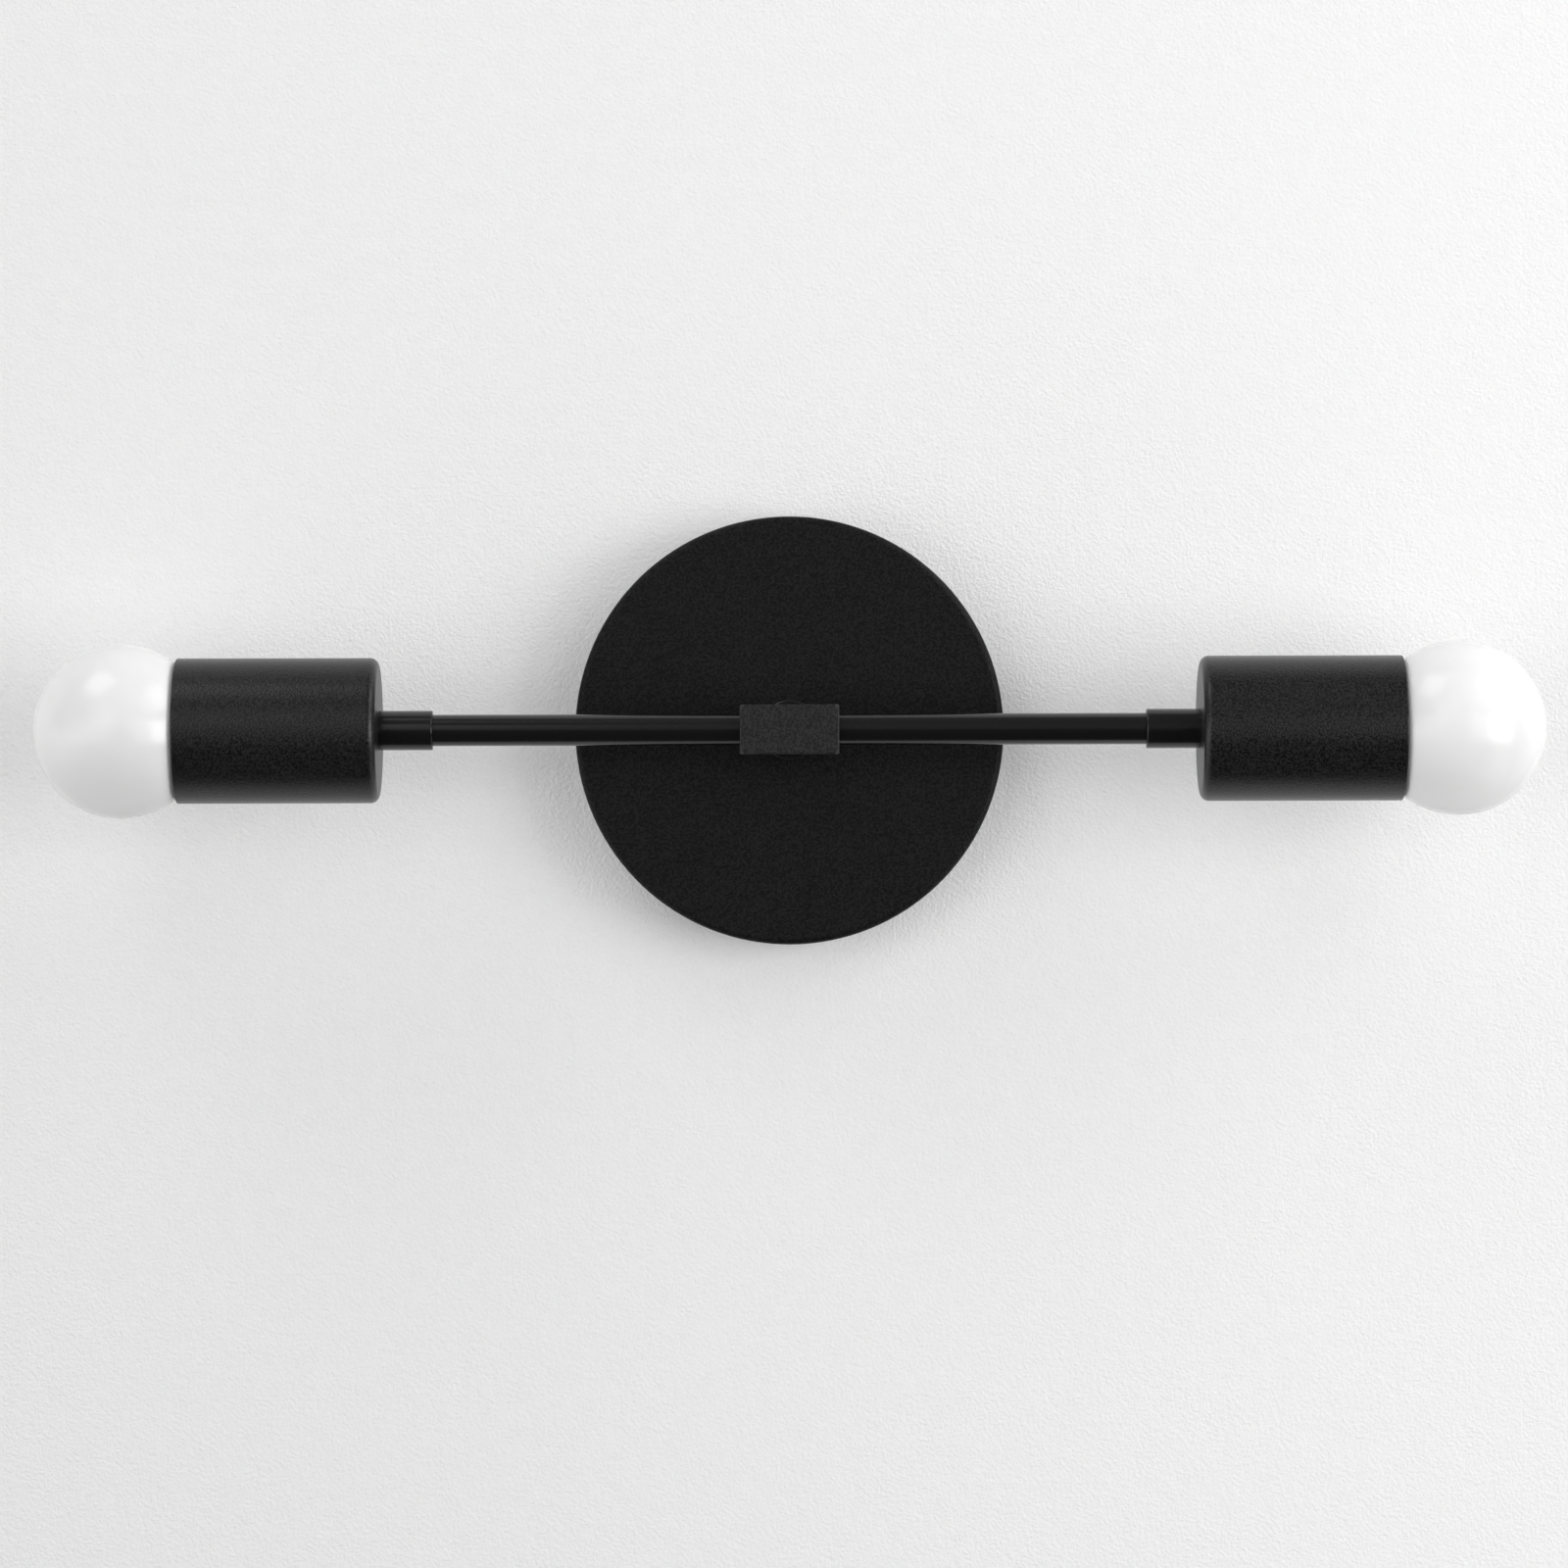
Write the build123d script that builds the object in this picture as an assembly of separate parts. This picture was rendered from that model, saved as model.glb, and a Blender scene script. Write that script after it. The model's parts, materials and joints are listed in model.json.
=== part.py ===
from build123d import *
import os
from math import pi, sqrt

# Two-light vanity light. Millimetres, +Z up, wall plane at Y = 0, the light reaches out along -Y.
# The origin lies on the wall plane, midway between the two slots of the crossbar.

# Canopy
canopy_diameter = 132.0
canopy_depth = 20.0
canopy_wall = 1.2
canopy_edge_radius = 1.8

# Standoff between canopy and block
standoff_diameter = 18.0
standoff_length = 24.0
standoff_edge_radius = 0.4

# Block that carries both arms
block_length = 30.0
block_side = 15.0
block_edge_radius = 0.4
block_corner_chamfer = 1.46

# Arms and sleeves
arm_diameter = 9.5
arm_bore = 7.0
arm_length_seen = 93.0
arm_entry = 7.5
sleeve_diameter = 12.0
sleeve_length = 16.3
sleeve_inner_gap = 1.3
sleeve_edge = 0.4

# Threaded pipe nipples, with their nuts and toothed washers
nipple_diameter = 9.5
nipple_bore = 7.0
nipple_block_entry = 3.2
nipple_spare_length = 1.0
nut_across_flats = 14.0
nut_thickness = 3.5
washer_diameter = 15.5
washer_thickness = 1.0
washer_tooth_count = 10
washer_tooth_length = 1.6
washer_tooth_width = 1.8

# Cups
cup_diameter = 44.0
cup_length = 61.2
cup_wall = 1.2
cup_end_radius = 2.6
cup_rim_radius = 0.4

# Lamp sockets
socket_diameter = 32.0
socket_cap_base = 3.0
socket_cap_height = 11.0
socket_cap_wall = 1.5
socket_floor = 5.0
socket_rim_past_base = 0.5
socket_rim_radius = 0.8
shell_thickness = 0.4
shell_length = 25.0
contact_height = 3.0
contact_thickness = 0.5
contact_width = 6.0
contact_reach = 2.5
contact_rise_start = -5.0
contact_rise_end = -2.0
contact_foot_end = -9.0
boss_diameter = 6.0
socket_screw_diameter = 2.3
socket_screw_head_diameter = 4.8
socket_screw_head_height = 1.6
socket_screw_length = 11.0
terminal_screw_diameter = 3.5
terminal_head_diameter = 6.0
terminal_head_height = 2.0
terminal_screw_depth = 4.0

# Globe lamps with a medium screw base
globe_diameter = 53.0
globe_wall = 1.2
lamp_neck_lip = 0.2
lamp_neck_length = 1.3
lamp_neck_fillet = 5.0
lamp_base_diameter = 26.0
lamp_base_wall = 0.4
lamp_base_start = 3.2
lamp_base_end = 26.2
lamp_base_cone = 3.5
lamp_base_mouth_radius = 9.2
lamp_plug_depth = 5.0
lamp_foot_gap = 0.3
foot_radius = 4.9
foot_height = 0.8
foot_stem_radius = 1.9
led_board_thickness = 1.6
led_chip_size = 3.0
led_chip_height = 0.8
led_chip_count = 8
led_chip_circle = 7.5
driver_board_width = 15.0
driver_board_thickness = 1.2
driver_board_gap = 3.0
capacitor_radius = 3.2
capacitor_length = 10.0

# Wall crossbar and its screws
crossbar_width = 22.0
crossbar_thickness = 1.6
crossbar_bend_radius = 1.0
crossbar_ear_height = 14.0
crossbar_centre_hole = 16.0
slot_spacing = 79.4
slot_length = 16.0
slot_width = 4.8
set_screw_diameter = 4.0
set_screw_length = 8.0
set_screw_height = 9.0
set_screw_key = 2.0
set_screw_key_depth = 2.5
ground_screw_drop = 26.0
ground_screw_diameter = 3.8
ground_head_diameter = 8.0
ground_head_height = 2.0
screw_slot_width = 0.8
screw_slot_depth = 0.8

# Leads, ground tag and twist-on connectors
lead_diameter = 2.2
lead_spacing = 2.7
lead_block_bend = 7.0
lead_terminal_bend = 4.5
lead_end_past_terminal = 3.0
near_lead_bend = 3.1
connector_start = 16.0
connector_length = 22.0
connector_grip = 10.0
connector_lead_pitch = 2.8
connector_mouth_radius = 5.6
connector_tip_radius = 3.8
connector_flute_count = 10
connector_flute_radius = 0.5
tag_thickness = 0.8
tag_diameter = 15.0
tag_tongue_width = 3.6
tag_barrel_radius = 2.0
tag_barrel_start = 8.5
tag_barrel_end = 13.0
ground_lead_bend = 4.2
ground_lead_drop = 17.3
ground_lead_end = 29.5

# Clearances
thread_clearance = 0.05
hole_clearance = 0.15
wire_clearance = 0.05
crossbar_clearance = 0.4
base_clearance = 0.3
seat_clearance = 0.1
cup_mouth_gap = 0.4
screw_head_margin = 0.9
terminal_margin = 1.5

# Places worked out from the sizes above, along the wall axis as distances from the wall
canopy_radius = canopy_diameter / 2
canopy_inner_radius = canopy_radius - canopy_wall
canopy_inner_face = canopy_depth - canopy_wall
tag_face = canopy_inner_face - tag_thickness
washer_face = tag_face - washer_thickness
nut_face = washer_face - nut_thickness
nipple_wall_end = nut_face - nipple_spare_length
near_lead_turn = nipple_wall_end - near_lead_bend
far_lead_turn = near_lead_turn - connector_lead_pitch
block_back = canopy_depth + standoff_length
arm_reach = block_back + block_side / 2

# Places along the arm axis, as distances from the middle of the block
arm_radius = arm_diameter / 2
nipple_radius = nipple_diameter / 2
arm_start = block_length / 2 - arm_entry
sleeve_start = block_length / 2 + arm_length_seen
cup_start = sleeve_start + sleeve_length
cup_floor = cup_start + cup_wall
cup_end = cup_start + cup_length
cup_nut_start = cup_floor + washer_thickness
cup_inner_radius = cup_diameter / 2 - cup_wall

# The globe's neck flares from the base's rim out to the ball
base_radius = lamp_base_diameter / 2
lamp_neck_radius = base_radius + lamp_neck_lip
globe_radius = globe_diameter / 2
flare_centre_radius = lamp_neck_radius + lamp_neck_fillet
flare_to_globe = sqrt((globe_radius + lamp_neck_fillet) ** 2 - flare_centre_radius**2)

# The socket sits on the cup's nut, or further out on its nipple if the globe needs it to clear the mouth
mouth_radius = cup_inner_radius - cup_mouth_gap
mouth_to_globe = sqrt(max(globe_radius**2 - mouth_radius**2, 0))
socket_to_foot = socket_cap_height + socket_floor + contact_height + lamp_foot_gap
socket_to_globe = socket_to_foot + lamp_base_end + lamp_neck_length + flare_to_globe
cap_start = max(cup_nut_start + nut_thickness, cup_end + mouth_to_globe - socket_to_globe)
cap_floor = cap_start + socket_cap_base
body_start = cap_start + socket_cap_height
body_floor = body_start + socket_floor
lamp_foot = cap_start + socket_to_foot
base_start = lamp_foot + lamp_base_start
base_end = lamp_foot + lamp_base_end
body_end = base_end + socket_rim_past_base
flare_start = base_end + lamp_neck_length
globe_centre = flare_start + flare_to_globe
shell_radius = base_radius + base_clearance
boss_place = shell_radius - socket_screw_head_diameter / 2 - screw_head_margin

# Leads and the screws that clamp them
lead_radius = lead_diameter / 2
lead_offset = lead_spacing / 2
lead_terminal_place = body_start - lead_radius - wire_clearance
terminal_offset = terminal_screw_diameter / 2 + lead_radius + wire_clearance
terminal_reach = socket_diameter / 2 - socket_cap_wall - terminal_margin - terminal_head_diameter / 2
terminal_height = sqrt(terminal_reach**2 - terminal_offset**2)
lead_end_height = terminal_height + lead_end_past_terminal
ground_screw_offset = ground_screw_diameter / 2 + lead_radius + wire_clearance

# Moves from the axis on which a piece is turned to its place on the object
on_arm_axis = Pos(0, -arm_reach, 0)
on_wall_axis = Rot(0, 0, -90)


def lathe(corners, radii=None):
    """Solid turned about X from (distance, radius) corners, each rounded by its own radius."""
    outline = FilletPolyline(*corners, radius=radii or [0] * len(corners), close=True)
    return revolve(make_face(outline), Axis.X)


def rod(start, end, radius):
    """Round bar along X between two distances."""
    return Pos((start + end) / 2, 0, 0) * Rot(0, 90, 0) * Cylinder(radius, end - start)


def tube(start, end, outer_radius, inner_radius):
    """Round pipe along X between two distances."""
    return rod(start, end, outer_radius) - rod(start, end, inner_radius)


def hex_prism(start, end, across_flats):
    """Hexagonal bar along X between two distances."""
    section = RegularPolygon(across_flats / 2, 6, major_radius=False)
    return Pos(start, 0, 0) * Rot(0, 90, 0) * extrude(section, end - start)


def hex_nut(start):
    """Pipe nut along X with its corners turned off on both sides."""
    end = start + nut_thickness
    flat_radius = nut_across_flats / 2
    corner_radius = flat_radius * 2 / sqrt(3)
    bevel = (corner_radius - flat_radius) / 2
    corners = [(start, 0), (start, flat_radius), (start + bevel, corner_radius),
               (end - bevel, corner_radius), (end, flat_radius), (end, 0)]
    blank = hex_prism(start, end, nut_across_flats) & lathe(corners)
    return blank - rod(start, end, nipple_radius + thread_clearance)


def toothed_washer(start):
    """Lock washer along X with teeth around its rim."""
    end = start + washer_thickness
    rim = washer_diameter / 2 - washer_tooth_length
    tooth = Box(washer_thickness, 2 * washer_tooth_length, washer_tooth_width)
    washer = rod(start, end, rim)
    for turn in range(washer_tooth_count):
        washer += Rot(turn * 360 / washer_tooth_count, 0, 0) * Pos((start + end) / 2, rim, 0) * tooth
    return washer - rod(start, end, nipple_radius + hole_clearance)


def slotted_screw(seat, head_diameter, head_height, shank_diameter, shank_length):
    """Screw along X: its head lies before the seat, its shank runs on behind it."""
    top, rim = seat - head_height, head_diameter / 2
    head = lathe([(top, 0), (top, rim), (seat, rim), (seat, 0)], [0, head_height / 3, 0, 0])
    slot = Pos(top + screw_slot_depth / 2, 0, 0) * Box(screw_slot_depth, head_diameter, screw_slot_width)
    return head + rod(seat, seat + shank_length, shank_diameter / 2) - slot


def arc_about(centre, start, end):
    """Circular arc of under half a turn between two points about a centre."""
    centre, start, end = Vector(*centre), Vector(*start), Vector(*end)
    radius = (start - centre).length
    middle = centre + ((start - centre) + (end - centre)).normalized() * radius
    return ThreePointArc(start, middle, end)


def set_screw_holes(clearance):
    """Upright bar that cuts the holes of both set screws."""
    return Pos(0, -set_screw_height, 0) * Cylinder(set_screw_diameter / 2 + clearance, canopy_diameter)


def make_canopy():
    """Pressed round cover, open to the wall, with a centre hole and two set-screw holes."""
    hole_radius = nipple_radius + hole_clearance
    corners = [(0, canopy_radius), (canopy_depth, canopy_radius),
               (canopy_depth, hole_radius), (canopy_inner_face, hole_radius),
               (canopy_inner_face, canopy_inner_radius), (0, canopy_inner_radius)]
    inner_edge = max(canopy_edge_radius - canopy_wall, 0)
    shell = on_wall_axis * lathe(corners, [0, canopy_edge_radius, 0, 0, inner_edge, 0])
    return shell - set_screw_holes(hole_clearance)


def make_standoff():
    """Round spacer between the canopy and the block, bored for the centre nipple."""
    bore = nipple_radius + hole_clearance
    corners = [(canopy_depth, bore), (canopy_depth, standoff_diameter / 2),
               (block_back, standoff_diameter / 2), (block_back, bore)]
    return on_wall_axis * lathe(corners, [0, standoff_edge_radius, standoff_edge_radius, 0])


def make_arm_block():
    """Square bar, bored across for the arms and from behind for the nipple, its end corners turned off."""
    bar = Box(block_length, block_side, block_side)
    bar = fillet(bar.edges(), block_edge_radius)
    half = block_length / 2
    corner_radius = block_side / sqrt(2)
    end_radius = corner_radius - block_corner_chamfer
    shoulder = half - block_corner_chamfer
    turned = lathe([(-half, 0), (-half, end_radius), (-shoulder, corner_radius),
                    (shoulder, corner_radius), (half, end_radius), (half, 0)])
    bar = bar & turned
    cross_bore = rod(-half, half, arm_radius + thread_clearance)
    back_bore = Rot(0, 0, 90) * rod(0, half, nipple_radius + thread_clearance)
    return on_arm_axis * (bar - cross_bore - back_bore)


def make_centre_nipple():
    """Pipe from the block through standoff, canopy and nut."""
    front_end = block_back + nipple_block_entry
    return on_wall_axis * tube(nipple_wall_end, front_end, nipple_radius, nipple_bore / 2)


def make_ground_tag():
    """Ring tag under the canopy's lock washer, with a crimp barrel pointing down."""
    barrel_axis = canopy_inner_face - tag_barrel_radius - seat_clearance
    middle = (canopy_inner_face + tag_face) / 2
    ring = rod(tag_face, canopy_inner_face, tag_diameter / 2)
    tongue = Pos(middle, 0, -tag_barrel_end / 2) * Box(tag_thickness, tag_tongue_width, tag_barrel_end)
    barrel_middle = (tag_barrel_start + tag_barrel_end) / 2
    barrel_place = Pos(barrel_axis, 0, -barrel_middle)
    barrel_length = tag_barrel_end - tag_barrel_start
    tag = ring + tongue + barrel_place * Cylinder(tag_barrel_radius, barrel_length)
    tag -= barrel_place * Cylinder(lead_radius + wire_clearance, barrel_length)
    return on_wall_axis * (tag - rod(tag_face, canopy_inner_face, nipple_radius + hole_clearance))


def crossbar_ear_place():
    """Height of each ear's outer face, just inside the canopy's round wall."""
    return sqrt(canopy_inner_radius**2 - (crossbar_width / 2) ** 2) - crossbar_clearance


def make_wall_crossbar():
    """Bent strap with two ears for the set screws, two box slots, a lead hole and a ground hole."""
    ear, sheet, inner_bend = crossbar_ear_place(), crossbar_thickness, crossbar_bend_radius
    outer_bend = inner_bend + sheet
    corners = [(-crossbar_ear_height, ear), (0, ear), (0, -ear), (-crossbar_ear_height, -ear),
               (-crossbar_ear_height, sheet - ear), (-sheet, sheet - ear), (-sheet, ear - sheet),
               (-crossbar_ear_height, ear - sheet)]
    radii = [0, outer_bend, outer_bend, 0, 0, inner_bend, inner_bend, 0]
    outline = make_face(FilletPolyline(*corners, radius=radii, close=True))
    bar = extrude(Plane.YZ * outline, crossbar_width / 2, both=True)
    openings = Circle(crossbar_centre_hole / 2)
    ground_hole = Circle(ground_screw_diameter / 2 + thread_clearance)
    openings += Pos(-ground_screw_offset, -ground_screw_drop) * ground_hole
    for height in (-slot_spacing / 2, slot_spacing / 2):
        openings += Pos(0, height) * Rot(0, 0, 90) * SlotOverall(slot_length, slot_width)
    bar -= extrude(Plane.XZ * openings, sheet)
    return bar - set_screw_holes(thread_clearance)


def make_set_screws():
    """Two keyed screws in the ears, turned out into the canopy's rim until flush."""
    end = canopy_radius - seat_clearance
    screw = rod(end - set_screw_length, end, set_screw_diameter / 2)
    screw -= hex_prism(end - set_screw_key_depth, end, set_screw_key)
    upper = Pos(0, -set_screw_height, 0) * Rot(0, -90, 0) * screw
    return upper + mirror(upper, about=Plane.XY)


def make_ground_screw():
    """Screw on the crossbar that clamps the ground lead under its head."""
    seat = -(crossbar_thickness + lead_diameter + 2 * wire_clearance)
    shank = -seat - seat_clearance
    screw = slotted_screw(seat, ground_head_diameter, ground_head_height, ground_screw_diameter, shank)
    return Pos(-ground_screw_offset, 0, -ground_screw_drop) * Rot(0, 0, 90) * screw


def make_connector():
    """Twist-on connector along +X: a fluted cap over the ends of two leads."""
    end = connector_start + connector_length
    mouth, tip = connector_mouth_radius, connector_tip_radius
    cap = lathe([(connector_start, 0), (connector_start, mouth), (end, tip), (end, 0)],
                [0, connector_flute_radius, tip / 2, 0])
    slope = Plane((connector_start + connector_grip, mouth, 0), z_dir=(connector_length, tip - mouth, 0))
    from_mouth = (Align.CENTER, Align.CENTER, Align.MIN)
    flute = slope * Cylinder(connector_flute_radius, connector_length, align=from_mouth)
    for turn in range(connector_flute_count):
        cap -= Rot(turn * 360 / connector_flute_count, 0, 0) * flute
    bore_width = lead_diameter + 2 * wire_clearance
    bore = SlotOverall(connector_lead_pitch + bore_width, bore_width)
    cap -= Pos(connector_start, 0, 0) * extrude(Plane.YZ * bore, connector_grip)
    return cap


def lead_along(points, bends):
    """Insulated lead of straight runs joined by tangent arcs."""
    path = FilletPolyline(*points, radius=bends)
    lead = sweep(Plane(path @ 0, z_dir=path % 0) * Circle(lead_radius), path=path)
    section = pi * lead_radius**2
    ratio = lead.volume / (section * path.length)
    print(f"lead: length {path.length:.1f} mm, bends {bends}, volume over section times length {ratio:.4f}")
    return lead


def make_lamp_lead(side, pole, turn):
    """Lead from a socket terminal through arm, block and nipple to the connector of its pole."""
    height = pole * lead_offset
    points = [
        (side * lead_terminal_place, -arm_reach, pole * lead_end_height),
        (side * lead_terminal_place, -arm_reach, height),
        (side * lead_offset, -arm_reach, height),
        (side * lead_offset, -turn, height),
        (pole * (connector_start + connector_grip), -turn, height),
    ]
    return lead_along(points, [lead_terminal_bend, lead_block_bend, nipple_wall_end - turn])


def make_ground_lead():
    """Lead from the ring tag's barrel down to the ground screw."""
    tag_level = -(canopy_inner_face - tag_barrel_radius - seat_clearance)
    bar_level = -(crossbar_thickness + lead_radius + wire_clearance)
    points = [(0, tag_level, -tag_barrel_start), (0, tag_level, -ground_lead_drop),
              (0, bar_level, -ground_lead_drop), (0, bar_level, -ground_lead_end)]
    return lead_along(points, [ground_lead_bend, ground_lead_bend])


def make_arm():
    """Round tube from the block into the sleeve."""
    return tube(arm_start, sleeve_start + arm_entry, arm_radius, arm_bore / 2)


def make_sleeve():
    """Coupling over the arm's end and the socket nipple."""
    radius = sleeve_diameter / 2
    sleeve = lathe([(sleeve_start, 0), (sleeve_start, radius), (cup_start, radius), (cup_start, 0)],
                   [0, sleeve_edge, 0, 0])
    arm_end = sleeve_start + arm_entry
    sleeve -= rod(sleeve_start, arm_end, arm_radius + thread_clearance)
    return sleeve - rod(arm_end, cup_start, nipple_radius + thread_clearance)


def make_socket_nipple():
    """Pipe from the sleeve through the cup's end and nut into the socket cap."""
    start = sleeve_start + arm_entry + sleeve_inner_gap
    return tube(start, cap_floor + nipple_spare_length, nipple_radius, nipple_bore / 2)


def make_cup():
    """Drawn cylinder, closed at the arm with a rounded edge, open at the lamp."""
    radius, hole_radius = cup_diameter / 2, nipple_radius + hole_clearance
    corners = [(cup_start, hole_radius), (cup_start, radius), (cup_end, radius),
               (cup_end, cup_inner_radius), (cup_floor, cup_inner_radius), (cup_floor, hole_radius)]
    inner_end = max(cup_end_radius - cup_wall, 0)
    return lathe(corners, [0, cup_end_radius, cup_rim_radius, cup_rim_radius, inner_end, 0])


def at_bosses(piece):
    """A piece beside the arm axis, and its twin on the other side."""
    return Pos(0, boss_place, 0) * piece + Pos(0, -boss_place, 0) * piece


def at_terminals(piece):
    """A piece above the arm axis at a terminal, and its twin below."""
    upper = Pos(0, -terminal_offset, terminal_height) * piece
    return upper + mirror(upper, about=Plane.XY)


def make_socket_cap():
    """Closed end of the socket, threaded on the nipple, with two screw bosses inside."""
    radius = socket_diameter / 2
    cap = rod(cap_start, body_start, radius) - rod(cap_floor, body_start, radius - socket_cap_wall)
    cap += at_bosses(rod(cap_floor, body_start, boss_diameter / 2))
    cap -= at_bosses(rod(cap_floor, body_start, socket_screw_diameter / 2 + thread_clearance))
    return cap - rod(cap_start, cap_floor, nipple_radius + thread_clearance)


def make_socket_body():
    """Moulded cylinder with a thick floor that holds the screw shell, contact and terminals."""
    radius = socket_diameter / 2
    bore = shell_radius + shell_thickness + seat_clearance
    body = lathe([(body_start, 0), (body_start, radius), (body_end, radius), (body_end, bore),
                  (body_floor, bore), (body_floor, 0)], [0, 0, socket_rim_radius, socket_rim_radius, 0, 0])
    body -= at_bosses(rod(body_start, body_floor, socket_screw_diameter / 2 + hole_clearance))
    terminal_end = body_start + terminal_screw_depth
    terminal_hole = rod(body_start, terminal_end, terminal_screw_diameter / 2 + thread_clearance)
    return body - at_terminals(terminal_hole)


def make_socket_screws():
    """Two screws through the socket's floor into the bosses of its cap."""
    screw = slotted_screw(0, socket_screw_head_diameter, socket_screw_head_height,
                          socket_screw_diameter, socket_screw_length)
    return at_bosses(Pos(body_floor, 0, 0) * Rot(0, 0, 180) * screw)


def make_socket_shell():
    """Thin screw shell seated on the socket's floor."""
    return tube(body_floor, body_floor + shell_length, shell_radius + shell_thickness, shell_radius)


def make_socket_contact():
    """Bent strip that rises from the socket's floor to the lamp's foot."""
    low, high = body_floor, body_floor + contact_height - contact_thickness
    under = [(low, contact_foot_end), (low, contact_rise_start),
             (high, contact_rise_end), (high, contact_reach)]
    over = [(distance + contact_thickness, height) for distance, height in reversed(under)]
    strip = make_face(Polyline(*under, *over, close=True))
    return extrude(Plane.XZ * strip, contact_width / 2, both=True)


def make_socket_terminals():
    """Two terminal screws in the back of the socket's floor, each clamping a lead."""
    seat = body_start - lead_diameter - 2 * wire_clearance
    shank = body_start + terminal_screw_depth - seat
    return at_terminals(slotted_screw(seat, terminal_head_diameter, terminal_head_height,
                                      terminal_screw_diameter, shank))


def globe_curve(wall):
    """Profile of the globe from its neck to its tip, set in by a wall thickness."""
    radius = globe_radius - wall
    share = radius / (globe_radius + lamp_neck_fillet)
    meeting = (globe_centre - flare_to_globe * share, flare_centre_radius * share)
    neck_end, tip = (flare_start, lamp_neck_radius - wall), (globe_centre + radius, 0)
    flare = arc_about((flare_start, flare_centre_radius), neck_end, meeting)
    ball = arc_about((globe_centre, 0), meeting, tip)
    return neck_end, flare, ball, tip


def make_lamp_globe():
    """Hollow opal globe with a flared neck, a shoulder on the base's rim and a plug inside the base."""
    outer_neck, outer_flare, outer_ball, outer_tip = globe_curve(0)
    inner_neck, inner_flare, inner_ball, inner_tip = globe_curve(globe_wall)
    plug_start = base_end - lamp_plug_depth
    plug_radius = base_radius - lamp_base_wall - seat_clearance
    plug_bore = plug_radius - globe_wall
    outside = Polyline((plug_start, plug_radius), (base_end, plug_radius),
                       (base_end, lamp_neck_radius), outer_neck)
    inside = Polyline(inner_neck, (base_end, inner_neck[1]), (base_end, plug_bore),
                      (plug_start, plug_bore), (plug_start, plug_radius))
    profile = make_face([*outside.edges(), outer_flare, outer_ball, Line(outer_tip, inner_tip),
                         inner_ball, inner_flare, *inside.edges()])
    return revolve(profile, Axis.X)


def make_lamp_base_shell():
    """Screw base of the lamp, tapered towards its foot."""
    cone_end = base_start + lamp_base_cone
    inner, mouth = base_radius - lamp_base_wall, lamp_base_mouth_radius
    return lathe([(base_start, mouth), (base_start, mouth + lamp_base_wall), (cone_end, base_radius),
                  (base_end, base_radius), (base_end, inner), (cone_end + lamp_base_wall / 2, inner),
                  (base_start + lamp_base_wall, mouth)])


def make_lamp_insulator():
    """Moulded ring between the base and the foot contact, plugged into the base's mouth."""
    seat = base_start - seat_clearance
    plug = lamp_base_mouth_radius - seat_clearance
    start = lamp_foot + foot_height
    end = base_start + lamp_base_wall + seat_clearance
    corners = [(start, foot_stem_radius + thread_clearance), (start, foot_radius + seat_clearance),
               (seat, lamp_base_mouth_radius + seat_clearance), (seat, plug), (end, plug),
               (end, foot_stem_radius + thread_clearance)]
    return lathe(corners)


def make_lamp_foot_contact():
    """Domed centre contact with a stem through the insulator."""
    rise = (foot_radius**2 + foot_height**2) / (2 * foot_height)
    dome = arc_about((lamp_foot + rise, 0), (lamp_foot, 0), (lamp_foot + foot_height, foot_radius))
    edge = lamp_foot + foot_height
    profile = make_face([dome, Line((edge, foot_radius), (edge, 0)), Line((edge, 0), (lamp_foot, 0))])
    return revolve(profile, Axis.X) + rod(edge, base_start + lamp_base_wall, foot_stem_radius)


def make_lamp_led_board():
    """Round board on the neck's inner shoulder with a ring of light-emitting chips."""
    front = base_end + led_board_thickness
    board = rod(base_end, front, lamp_neck_radius - globe_wall - seat_clearance)
    chip = Box(led_chip_height, led_chip_size, led_chip_size)
    for turn in range(led_chip_count):
        spin = Rot(turn * 360 / led_chip_count, 0, 0)
        board += spin * Pos(front + led_chip_height / 2, led_chip_circle, 0) * chip
    return board


def make_lamp_driver():
    """Driver board standing in the base behind the round board, with its capacitor."""
    length = base_end - base_start - driver_board_gap
    middle = base_end - length / 2
    board = Pos(middle, 0, 0) * Box(length, driver_board_thickness, driver_board_width)
    capacitor = Pos(middle, driver_board_thickness / 2 + capacitor_radius, 0) * Rot(0, 90, 0) * Cylinder(
        capacitor_radius, capacitor_length)
    pad_block = Box(capacitor_length, capacitor_radius, capacitor_radius)
    pad = Pos(middle, driver_board_thickness / 2, 0) * pad_block
    return board + capacitor + pad


# Pieces on the wall axis
nodes = {
    "canopy": make_canopy(),
    "standoff": make_standoff(),
    "arm_block": make_arm_block(),
    "centre_nipple": make_centre_nipple(),
    "canopy_nut": on_wall_axis * hex_nut(nut_face),
    "canopy_lock_washer": on_wall_axis * toothed_washer(washer_face),
    "ground_tag": make_ground_tag(),
    "wall_crossbar": make_wall_crossbar(),
    "canopy_set_screws": make_set_screws(),
    "ground_screw": make_ground_screw(),
    "ground_lead": make_ground_lead(),
}

# Twist-on connectors, live to the right and neutral to the left
connector_level = -(near_lead_turn + far_lead_turn) / 2
connector = make_connector()
nodes["live_connector"] = Pos(0, connector_level, lead_offset) * connector
nodes["neutral_connector"] = Pos(0, connector_level, -lead_offset) * mirror(connector, about=Plane.YZ)

# Lamp leads: the lead of the connector's own side turns first, the other passes behind it
nodes["right_live_lead"] = make_lamp_lead(1, 1, near_lead_turn)
nodes["left_live_lead"] = make_lamp_lead(-1, 1, far_lead_turn)
nodes["right_neutral_lead"] = make_lamp_lead(1, -1, far_lead_turn)
nodes["left_neutral_lead"] = make_lamp_lead(-1, -1, near_lead_turn)

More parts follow.
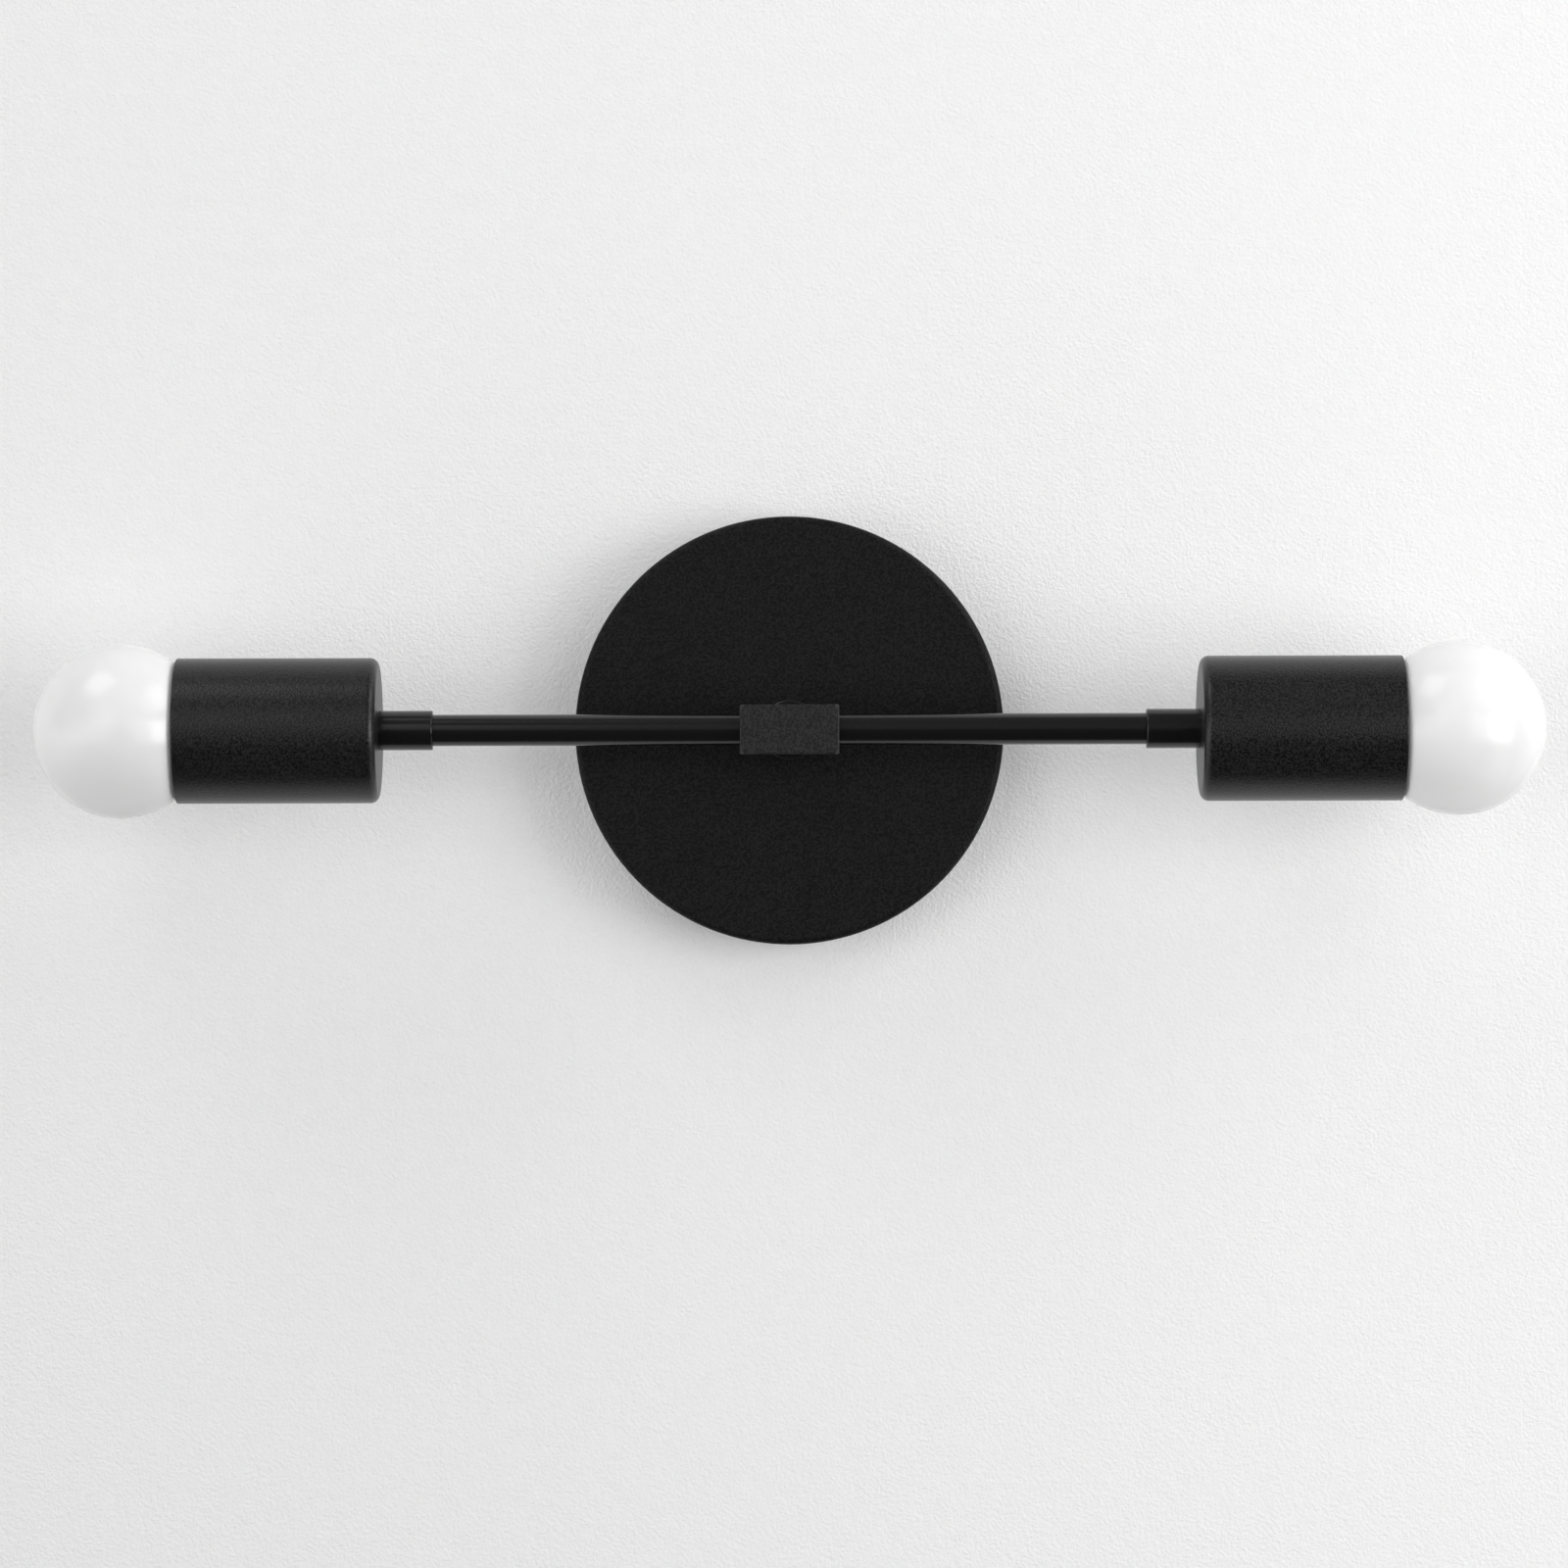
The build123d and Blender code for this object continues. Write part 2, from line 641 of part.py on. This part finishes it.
# Pieces of one side, built to the right and mirrored to the left
side_pieces = {
    "arm": make_arm(),
    "sleeve": make_sleeve(),
    "socket_nipple": make_socket_nipple(),
    "cup": make_cup(),
    "cup_lock_washer": toothed_washer(cup_floor),
    "cup_nut": hex_nut(cup_nut_start),
    "socket_cap": make_socket_cap(),
    "socket_body": make_socket_body(),
    "socket_screws": make_socket_screws(),
    "socket_shell": make_socket_shell(),
    "socket_contact": make_socket_contact(),
    "socket_terminals": make_socket_terminals(),
    "lamp_globe": make_lamp_globe(),
    "lamp_base_shell": make_lamp_base_shell(),
    "lamp_insulator": make_lamp_insulator(),
    "lamp_foot_contact": make_lamp_foot_contact(),
    "lamp_led_board": make_lamp_led_board(),
    "lamp_driver": make_lamp_driver(),
}
for name, piece in side_pieces.items():
    placed = on_arm_axis * piece
    nodes[f"right_{name}"] = placed
    nodes[f"left_{name}"] = mirror(placed, about=Plane.YZ)

os.makedirs("parts", exist_ok=True)
for name, piece in nodes.items():
    export_step(piece, f"parts/{name}.step")
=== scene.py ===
"""Looks of a straight black vanity light: its coats, opal lamps, screw threads and the pale wall behind."""
import json
from functools import partial
from math import cos, pi, radians, sin, tau

import bpy
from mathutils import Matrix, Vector


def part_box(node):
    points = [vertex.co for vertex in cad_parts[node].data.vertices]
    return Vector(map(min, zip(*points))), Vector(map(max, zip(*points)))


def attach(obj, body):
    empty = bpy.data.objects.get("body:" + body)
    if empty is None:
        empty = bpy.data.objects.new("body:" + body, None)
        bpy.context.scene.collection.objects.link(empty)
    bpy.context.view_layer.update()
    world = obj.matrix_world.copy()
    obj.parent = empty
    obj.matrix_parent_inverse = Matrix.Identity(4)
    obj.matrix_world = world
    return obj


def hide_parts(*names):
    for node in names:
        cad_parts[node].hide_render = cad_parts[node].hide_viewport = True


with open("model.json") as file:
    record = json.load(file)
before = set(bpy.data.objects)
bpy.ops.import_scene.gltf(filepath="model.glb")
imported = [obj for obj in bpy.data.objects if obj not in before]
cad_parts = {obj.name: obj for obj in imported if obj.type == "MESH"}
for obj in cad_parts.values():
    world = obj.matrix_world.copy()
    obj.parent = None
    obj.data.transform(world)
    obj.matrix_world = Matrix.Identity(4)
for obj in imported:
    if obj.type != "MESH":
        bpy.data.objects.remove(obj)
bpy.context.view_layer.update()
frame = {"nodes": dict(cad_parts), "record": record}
scene = bpy.context.scene
scene.view_settings.view_transform = "Standard"

X, Y, Z = range(3)
SIDES = {"left": -1, "right": 1}


def span(node, axis):
    """Lowest and highest place of a CAD node along one axis, in metres."""
    low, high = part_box(node)
    return low[axis], high[axis]


# Places and sizes of the threaded pieces, as in the solids, in metres
ARM_AXIS_Y = sum(span("right_arm", Y)) / 2
BASE_START, BASE_END = span("right_lamp_base_shell", X)
BASE_CREST = 0.013
BASE_MOUTH = 0.0096
BASE_CONE = 0.0035
BASE_WALL = 0.00035
SHELL_START, SHELL_END = span("right_socket_shell", X)
SHELL_CREST = 0.0133
SHELL_WALL = 0.0004
PIPE_CREST = 0.00475
PIPE_BORE = 0.0035

# Screw threads: where the rolled lamp thread fades out, the pipe thread, and how finely both are cut
LAMP_PITCH = 0.003629
LAMP_THREAD_DEPTH = 0.0007
LAMP_THREAD_SIDES = 72
BASE_THREAD_FADE = (BASE_END - 0.0072, BASE_END - 0.0052)
BASE_STEP = 0.0002
SHELL_INNER_FADE = (SHELL_START + 0.0023, SHELL_START + 0.0038)
SHELL_OUTER_FADE = (SHELL_END - 0.0072, SHELL_END - 0.0057)
SHELL_STEP = 0.00025
PIPE_PITCH = 0.00094
PIPE_THREAD_DEPTH = 0.00045
PIPE_THREAD_SIDES = 40
PIPE_STEP = PIPE_PITCH / 8
PIPE_CHAMFER = 0.0007
CHAMFER_SLOPE = 0.6
SHARP_EDGE = radians(35)


# Shader nodes written as expressions, and where a Mix node keeps its colours

MIX_FIRST = 6
MIX_SECOND = 7
MIX_RESULT = 2


class Flow:
    """What a node gives out; arithmetic on a flow of numbers adds Math nodes."""

    def __init__(self, socket):
        self.socket = socket

    def math(self, operation, first, second):
        """Adds a Math node and gives its result."""
        node = self.socket.id_data.nodes.new("ShaderNodeMath")
        node.operation = operation
        connect(node.inputs[0], first)
        connect(node.inputs[1], second)
        return Flow(node.outputs[0])

    def __add__(self, other):
        return self.math("ADD", self, other)

    __radd__ = __add__

    def __sub__(self, other):
        return self.math("SUBTRACT", self, other)

    def __rsub__(self, other):
        return self.math("SUBTRACT", other, self)

    def __mul__(self, other):
        return self.math("MULTIPLY", self, other)

    __rmul__ = __mul__

    def __gt__(self, other):
        return self.math("GREATER_THAN", self, other)


def connect(socket, value):
    """Links a flow to a socket, or sets the socket to a plain value."""
    if isinstance(value, Flow):
        socket.id_data.links.new(value.socket, socket)
    else:
        socket.default_value = value


def swing(noise, width):
    """Noise of 0 to 1 as a swing of that width about 0."""
    return (noise - 0.5) * width


class Finish:
    """The nodes of one finish, from its textures up to its surface."""

    def __init__(self, owner):
        owner.use_nodes = True
        self.owner = owner
        self.tree = owner.node_tree
        self.tree.nodes.clear()

    def node(self, kind, settings, sockets, output=0):
        """Adds a node: its settings first, then the values and links of its sockets."""
        made = self.tree.nodes.new("ShaderNode" + kind)
        for name, value in settings.items():
            setattr(made, name, value)
        for name, value in sockets.items():
            connect(made.inputs[name], value)
        return Flow(made.outputs[output]) if made.outputs else None

    def place(self, stretch=(1, 1, 1)):
        """Place on the piece in metres, with each axis stretched by a factor."""
        here = self.node("TexCoord", {}, {}, "Object")
        return self.node("VectorMath", {"operation": "MULTIPLY"}, {0: here, 1: stretch})

    def noise(self, size, detail=2.0, stretch=(1, 1, 1)):
        """Soft random cloud whose lumps are about one size across."""
        sockets = {"Vector": self.place(stretch), "Scale": 1 / size, "Detail": detail}
        return self.node("TexNoise", {}, sockets)

    def specks(self, size, share, radius=0.35):
        """Round specks: 1 within a radius of the middle of a share of the cells, else 0."""
        cells = {"Vector": self.place(), "Scale": 1 / size}
        near = 1 - (self.node("TexVoronoi", {}, cells, "Distance") > radius)
        cell_colour = self.node("TexVoronoi", {}, cells, "Color")
        pick = self.node("SeparateColor", {}, {0: cell_colour})
        return near * (pick > 1 - share)

    def fade(self, value, low, high):
        """Smooth step from 0 where a value is low to 1 where it is high."""
        return self.node("MapRange", {"interpolation_type": "SMOOTHSTEP"}, {0: value, 1: low, 2: high})

    def blend(self, share, first, second):
        """Colour between two colours by a share."""
        sockets = {0: share, MIX_FIRST: (*first, 1), MIX_SECOND: (*second, 1)}
        return self.node("Mix", {"data_type": "RGBA"}, sockets, MIX_RESULT)

    def rays(self, kind):
        """1 on what rays of one kind meet, such as Camera or Glossy, else 0."""
        return self.node("LightPath", {}, {}, f"Is {kind} Ray")

    def bump(self, height, depth):
        """Surface normal shaken by a height of 0 to 1 that is worth a depth in metres."""
        return self.node("Bump", {}, {"Strength": 1.0, "Distance": depth, "Height": height})

    def surface(self, sockets):
        """Ends the finish in one surface shader."""
        shader = self.node("BsdfPrincipled", {}, sockets)
        self.node("OutputMaterial", {}, {"Surface": shader})
        return self.owner


# Finishes

PEBBLE_CONTRAST = 5
CLOUD_CONTRAST = 0.3
SPECKLE_START = 2.15
NIB_HEIGHT = 0.6
TRACK_LEVEL = 0.56
TRACK_HEIGHT = 0.7


def powder_coat(finish, dark, light, roughness, depth, shine):
    """Sprayed and baked powder: a fine pebbled skin, speckled and faintly cloudy."""
    pebble = finish.noise(size=0.00065)
    cloud = finish.noise(size=0.011, detail=3.0)
    speckle = pebble * PEBBLE_CONTRAST + cloud * CLOUD_CONTRAST - SPECKLE_START
    return finish.surface({
        "Base Color": finish.blend(speckle, dark, light),
        "Specular IOR Level": shine,
        "Roughness": roughness + swing(pebble, width=0.16),
        "Normal": finish.bump(pebble, depth),
    })


def enamel(finish, dark, light, roughness):
    """Smooth paint with slight orange peel and dust nibs."""
    peel = finish.noise(size=0.0011)
    nibs = finish.specks(size=0.0016, share=0.03)
    cloud = finish.noise(size=0.008)
    return finish.surface({
        "Base Color": finish.blend(cloud, dark, light),
        "Roughness": roughness + swing(peel, width=0.1),
        "Normal": finish.bump(peel + nibs * NIB_HEIGHT, depth=0.000004),
    })


def plated(finish, dark, light, roughness, grain, stretch=(1, 1, 1)):
    """Bare or plated metal with a drawn grain and a little staining."""
    lines = finish.noise(size=grain, stretch=stretch)
    stain = finish.noise(size=0.006, detail=3.0)
    return finish.surface({
        "Base Color": finish.blend(stain, dark, light),
        "Metallic": 1.0,
        "Roughness": roughness + swing(lines, width=0.2) + swing(stain, width=0.12),
        "Normal": finish.bump(lines, depth=0.000003),
    })


def moulded(finish, dark, light, roughness):
    """Moulded or extruded plastic, faintly mottled."""
    mottle = finish.noise(size=0.003, detail=4.0)
    grain = finish.noise(size=0.0005)
    return finish.surface({
        "Base Color": finish.blend(mottle, dark, light),
        "Roughness": roughness + swing(grain, width=0.12),
        "Normal": finish.bump(grain, depth=0.000003),
    })


def opal(finish, dark, light, roughness):
    """Opal envelope: milky white under a clear, very slightly wavy gloss."""
    milk = finish.noise(size=0.02, detail=3.0)
    wave = finish.noise(size=0.006, detail=1.0)
    return finish.surface({
        "Base Color": finish.blend(milk, dark, light),
        "Subsurface Weight": 0.5,
        "Subsurface Radius": (1, 1, 1),
        "Subsurface Scale": 0.003,
        "Roughness": roughness + swing(wave, width=0.04),
        "Normal": finish.bump(wave, depth=0.000004),
    })


def circuit_board(finish, mask, tracks, roughness):
    """Solder mask over faint copper tracks."""
    raised = finish.noise(size=0.0018, detail=0.0, stretch=(1, 3, 1)) > TRACK_LEVEL
    weave = finish.noise(size=0.0006)
    return finish.surface({
        "Base Color": finish.blend(raised, mask, tracks),
        "Roughness": roughness + swing(weave, width=0.15),
        "Normal": finish.bump(raised * TRACK_HEIGHT + weave * (1 - TRACK_HEIGHT), depth=0.00001),
    })


FINISHES = {
    "black_powder_coat": partial(
        powder_coat, dark=(0.0005, 0.0005, 0.0005), light=(0.013, 0.013, 0.0132),
        roughness=0.32, depth=0.0001, shine=0.36),
    "black_enamel": partial(
        enamel, dark=(0.003, 0.003, 0.0031), light=(0.004, 0.004, 0.0041), roughness=0.2),
    "black_oxide": partial(
        plated, dark=(0.02, 0.02, 0.021), light=(0.045, 0.044, 0.043), roughness=0.42, grain=0.0006),
    "zinc_steel": partial(
        plated, dark=(0.5, 0.51, 0.52), light=(0.66, 0.66, 0.63),
        roughness=0.34, grain=0.0009, stretch=(1, 1, 0.12)),
    "black_phenolic": partial(
        moulded, dark=(0.012, 0.011, 0.010), light=(0.026, 0.023, 0.021), roughness=0.36),
    "shell_brass": partial(
        plated, dark=(0.66, 0.45, 0.19), light=(0.78, 0.58, 0.28),
        roughness=0.28, grain=0.0006, stretch=(0.15, 1, 1)),
    "contact_brass": partial(
        plated, dark=(0.62, 0.42, 0.17), light=(0.76, 0.56, 0.27),
        roughness=0.3, grain=0.0007, stretch=(1, 1, 0.2)),
    "opal_glass": partial(
        opal, dark=(0.93, 0.93, 0.925), light=(0.955, 0.955, 0.952), roughness=0.2),
    "base_aluminium": partial(
        plated, dark=(0.68, 0.68, 0.69), light=(0.8, 0.8, 0.8),
        roughness=0.28, grain=0.0008, stretch=(0.15, 1, 1)),
    "base_insulator": partial(
        moulded, dark=(0.012, 0.012, 0.014), light=(0.025, 0.025, 0.028), roughness=0.25),
    "foot_solder": partial(
        plated, dark=(0.55, 0.55, 0.54), light=(0.7, 0.7, 0.68), roughness=0.38, grain=0.0009),
    "white_board": partial(
        circuit_board, mask=(0.8, 0.8, 0.78), tracks=(0.72, 0.72, 0.69), roughness=0.4),
    "green_board": partial(
        circuit_board, mask=(0.02, 0.13, 0.05), tracks=(0.05, 0.2, 0.08), roughness=0.35),
    "green_screw": partial(
        enamel, dark=(0.02, 0.17, 0.05), light=(0.035, 0.23, 0.075), roughness=0.32),
    "green_insulation": partial(
        moulded, dark=(0.015, 0.2, 0.05), light=(0.025, 0.26, 0.075), roughness=0.38),
    "black_insulation": partial(
        moulded, dark=(0.01, 0.01, 0.01), light=(0.018, 0.018, 0.018), roughness=0.38),
    "white_insulation": partial(
        moulded, dark=(0.72, 0.72, 0.69), light=(0.8, 0.8, 0.77), roughness=0.4),
    "connector_orange": partial(
        moulded, dark=(0.72, 0.16, 0.012), light=(0.82, 0.22, 0.02), roughness=0.35),
}

# The canopy's and the block's coats are copies of the cups' coat: darker and duller on the canopy as painted
# shade, paler on the block as painted light
CANOPY_PAINTED_SHADE_COAT = partial(
    powder_coat, dark=(0.0004, 0.0004, 0.0004), light=(0.0095, 0.0095, 0.0097),
    roughness=0.45, depth=0.00012, shine=0.16)
BLOCK_PAINTED_LIGHT_COAT = partial(
    powder_coat, dark=(0.002, 0.002, 0.002), light=(0.018, 0.018, 0.0183),
    roughness=0.4, depth=0.0001, shine=0.34)


def make_material(name, recipe):
    """Material of that name with a finish's nodes."""
    return recipe(Finish(bpy.data.materials.new(name)))


def paint(node, material):
    """Gives a CAD node its material."""
    frame["nodes"][node].data.materials[0] = material


materials = {slot: make_material(slot, recipe) for slot, recipe in FINISHES.items()}
for subpart in frame["record"]["subparts"]:
    paint(subpart["node"], materials[subpart["material_slot"]])
# Painted shade: the canopy's darker copy of the coat; painted light: the block's paler copy
paint("canopy", make_material("canopy_painted_shade_coat", CANOPY_PAINTED_SHADE_COAT))
paint("arm_block", make_material("block_painted_light_coat", BLOCK_PAINTED_LIGHT_COAT))


# Turned pieces with screw threads

def along_arm(sign):
    """Move from (distance, across, up) about an arm's axis to the object, the left arm turned half round."""
    return lambda distance, across, up: (sign * distance, ARM_AXIS_Y + sign * across, up)


def along_wall_axis(distance, across, up):
    """Move from (distance, across, up) about the canopy's axis to the object."""
    return up, distance, across


def rise(value, low, high):
    """Smooth step from 0 at low to 1 at high."""
    share = min(max((value - low) / (high - low), 0), 1)
    return share * share * (3 - 2 * share)


def steps(start, end, step):
    """Evenly spaced distances from start to end, about one step apart."""
    count = max(round((end - start) / step), 1)
    return [start + (end - start) * index / count for index in range(count + 1)]


def rolled_wave(distance, angle):
    """Rolled right-hand lamp thread: 1 on the crest and 0 in the root."""
    return 0.5 + 0.5 * cos(tau * distance / LAMP_PITCH - angle)


def base_radius(distance, angle):
    """Outside of the lamp's base: a cone, the rolled thread and a plain collar."""
    cone = BASE_MOUTH + (BASE_CREST - BASE_MOUTH) * (distance - BASE_START) / BASE_CONE
    depth = LAMP_THREAD_DEPTH * (1 - rise(distance, *BASE_THREAD_FADE))
    return min(cone, BASE_CREST - depth * (1 - rolled_wave(distance, angle)))


def shell_radius(distance, angle):
    """Inside of the socket's screw shell, which follows the lamp's thread."""
    share = rise(distance, *SHELL_INNER_FADE) * (1 - rise(distance, *SHELL_OUTER_FADE))
    return SHELL_CREST - LAMP_THREAD_DEPTH * share * (1 - rolled_wave(distance, angle))


def pipe_radius(start, end):
    """Outside of a threaded pipe between two distances, with chamfered ends."""
    def radius(distance, angle):
        turn = distance / PIPE_PITCH - angle / tau
        flank = abs(2 * (turn % 1) - 1)
        chamfer = PIPE_CHAMFER - min(distance - start, end - distance)
        return PIPE_CREST - max(PIPE_THREAD_DEPTH * flank, chamfer * CHAMFER_SLOPE)
    return radius


def ring_faces(rings, sides, closed):
    """Four-cornered faces between neighbouring rings of points, and from the last to the first if closed."""
    faces = []
    for ring in range(rings if closed else rings - 1):
        here, there = ring * sides, (ring + 1) % rings * sides
        for side in range(sides):
            after = (side + 1) % sides
            faces.append((here + side, here + after, there + after, there + side))
    return faces


def turned_piece(name, body, slot, node, rings, sides, move):
    """Closed mesh through rings of (distance, radius rule) about an axis, standing for one CAD node."""
    points = []
    for distance, rule in rings:
        for side in range(sides):
            angle = tau * side / sides
            radius = rule(distance, angle)
            points.append(move(distance, radius * cos(angle), radius * sin(angle)))
    mesh = bpy.data.meshes.new(name)
    mesh.from_pydata(points, [], ring_faces(len(rings), sides, closed=True))
    mesh.shade_smooth()
    mesh.set_sharp_from_angle(angle=SHARP_EDGE)
    mesh.materials.append(materials[slot])
    piece = bpy.data.objects.new(name, mesh)
    scene.collection.objects.link(piece)
    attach(piece, body)
    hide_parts(node)


def skin(outside, inside, start, end, step):
    """Rings along the outside and back along the inside of a rolled sheet."""
    distances = steps(start, end, step)
    return [(d, outside) for d in distances] + [(d, inside) for d in reversed(distances)]


def threaded_pipe(name, node, start, end, move):
    """Pipe threaded all along, bored through."""
    outside = [(d, pipe_radius(start, end)) for d in steps(start, end, PIPE_STEP)]
    bore = [(d, lambda distance, angle: PIPE_BORE) for d in (end, start)]
    turned_piece(name, "fixture", "zinc_steel", node, outside + bore, PIPE_THREAD_SIDES, move)


for side, sign in SIDES.items():
    turned_piece(
        f"{side}_lamp_screw_base", f"{side}_lamp", "base_aluminium", f"{side}_lamp_base_shell",
        skin(base_radius, lambda d, a: base_radius(d, a) - BASE_WALL, BASE_START, BASE_END, BASE_STEP),
        LAMP_THREAD_SIDES, along_arm(sign))
    turned_piece(
        f"{side}_socket_screw_shell", "fixture", "shell_brass", f"{side}_socket_shell",
        skin(lambda d, a: shell_radius(d, a) + SHELL_WALL, shell_radius, SHELL_START, SHELL_END, SHELL_STEP),
        LAMP_THREAD_SIDES, along_arm(sign))
    near_end, far_end = sorted(abs(place) for place in span(f"{side}_socket_nipple", X))
    threaded_pipe(f"{side}_socket_pipe", f"{side}_socket_nipple", near_end, far_end, along_arm(sign))
threaded_pipe("centre_pipe", "centre_nipple", *span("centre_nipple", Y), along_wall_axis)


# Wall: its ring round the wall box, its paint, and the share of paleness that is its own, which rises to the
# right as painted light

WALL_REACH = 0.7
WALL_PLANE = 0.0004
WALL_SIDES = 96
CANOPY_LAP = 0.006
WALL_SHADE = (0.86, 0.86, 0.86)
WALL_LIGHT = (0.9, 0.9, 0.9)
LEATHER_HEIGHT = 0.8
OWN_SHARE = 0.14
OWN_GREY = 1.0
PAINTED_LIGHT_PER_METRE = 0.3


def wall_paint():
    """Pale paint with a fine leathery skin, seen only from the room."""
    finish = Finish(bpy.data.materials.new("wall_paint"))
    leather = finish.noise(size=0.00085)
    broad = finish.noise(size=0.006)
    lit = finish.node("BsdfPrincipled", {}, {
        "Base Color": finish.blend(broad, WALL_SHADE, WALL_LIGHT),
        "Roughness": 0.6,
        "Normal": finish.bump(leather * LEATHER_HEIGHT + broad * (1 - LEATHER_HEIGHT), depth=0.00055),
    })
    across = finish.node("SeparateXYZ", {}, {0: finish.place()}, X)
    # The wall's own paleness grows brighter to the right: painted light standing for the lamps on the right
    # side
    backdrop_and_painted_light_grey = OWN_GREY + across * PAINTED_LIGHT_PER_METRE
    backdrop_and_painted_light_colour = finish.node("CombineColor", {}, {0: backdrop_and_painted_light_grey, 1: backdrop_and_painted_light_grey, 2: backdrop_and_painted_light_grey})
    backdrop_and_painted_light_glow = finish.node("Emission", {}, {"Color": backdrop_and_painted_light_colour})
    shown = finish.rays("Camera") + finish.rays("Glossy") + finish.rays("Transmission")
    pale = finish.node("MixShader", {}, {0: OWN_SHARE * shown, 1: lit, 2: backdrop_and_painted_light_glow})
    behind = finish.node("NewGeometry", {}, {}, "Backfacing")
    clear = finish.node("BsdfTransparent", {}, {})
    one_way = finish.node("MixShader", {}, {0: behind, 1: pale, 2: clear})
    finish.node("OutputMaterial", {}, {"Surface": one_way})
    return finish.owner


def make_wall():
    """Round stretch of wall, facing the room and open at the wall box behind the canopy."""
    opening = span("canopy", X)[1] - CANOPY_LAP
    points = []
    for reach in (WALL_REACH, opening):
        for side in range(WALL_SIDES):
            turn = tau * side / WALL_SIDES
            points.append((reach * cos(turn), WALL_PLANE, reach * sin(turn)))
    mesh = bpy.data.meshes.new("wall")
    mesh.from_pydata(points, [], ring_faces(2, WALL_SIDES, closed=False))
    mesh.materials.append(wall_paint())
    wall = bpy.data.objects.new("wall", mesh)
    scene.collection.objects.link(wall)


# Light: the levels of the room, and soft lamps as (tilt from straight ahead, turn about that axis, watts)

LOW_LEVEL = 0.07
HIGH_LEVEL = 0.25
LEFT_GLOW = 1.72
BEHIND_LEVEL = 0.7
BACKDROP_LEVEL = 0.85
ABOVE_FADE = (-0.06, 0.1)
BEHIND_FADE = (0.0, 0.3)
LAMP_DISTANCE = 1.8
LAMP_SIDE = 0.9
SOFT_BOXES = {
    "right_window": (55, 0, 14.4),
    "right_front": (30, 0, 4.2),
    "upper_right": (55, 45, 2.8),
    "high_right": (75, 45, 6.6),
    "low_right": (75, 315, 2.6),
    "left_front": (30, 180, 2.9),
    "upper_left": (30, 135, 2.3),
    "high_left": (70, 118, 6.6),
    "left": (55, 180, 2.8),
}


def make_world():
    """Soft studio round the wall: dim in front, pale behind it and wherever the camera looks past it."""
    finish = Finish(bpy.data.worlds.new("studio"))
    direction = finish.node("TexCoord", {}, {}, "Generated")
    x, y, z = (finish.node("SeparateXYZ", {}, {0: direction}, axis) for axis in (X, Y, Z))
    above = finish.fade(z, *ABOVE_FADE)
    behind = finish.fade(y, *BEHIND_FADE)
    low = LOW_LEVEL + x * x * (0 - x > 0) * LEFT_GLOW
    front = low + above * (HIGH_LEVEL - low)
    lit = front + behind * (BEHIND_LEVEL - front)
    shown = finish.rays("Camera") + behind * (finish.rays("Glossy") + finish.rays("Transmission"))
    level = lit + shown * (BACKDROP_LEVEL - lit)
    glow = finish.node("Background", {}, {"Strength": level, "Color": (1, 1, 1, 1)})
    finish.node("OutputWorld", {}, {"Surface": glow})
    scene.world = finish.owner


def soft_box(name, tilt, turn, watts):
    """Square soft lamp aimed at the middle of the light, its angles in degrees."""
    light = bpy.data.lights.new(name, "AREA")
    light.size = LAMP_SIDE
    light.energy = watts
    lamp = bpy.data.objects.new(name, light)
    away, round_axis = radians(tilt), radians(turn)
    toward = Vector((sin(away) * cos(round_axis), -cos(away), sin(away) * sin(round_axis)))
    lamp.location = toward * LAMP_DISTANCE
    lamp.rotation_euler = toward.to_track_quat("Z", "Y").to_euler()
    scene.collection.objects.link(lamp)


# Camera, in millimetres for its lens and film and metres for its place

LENS_LENGTH = 141.5
FILM_WIDTH = 36.0
NEAREST_SEEN = 0.05
CAMERA_PLACE = (-0.00172, -1.918, -0.0165)
CAMERA_ROLL = radians(0.16)


def make_camera():
    """Long lens square to the wall, a little below the arms and turned a hair."""
    lens = bpy.data.cameras.new("camera")
    lens.lens = LENS_LENGTH
    lens.sensor_width = FILM_WIDTH
    lens.clip_start = NEAREST_SEEN
    camera = bpy.data.objects.new("camera", lens)
    camera.location = CAMERA_PLACE
    camera.rotation_euler = (pi / 2, CAMERA_ROLL, 0)
    scene.collection.objects.link(camera)
    scene.camera = camera


make_wall()
make_world()
for name, values in SOFT_BOXES.items():
    soft_box(name, *values)
make_camera()
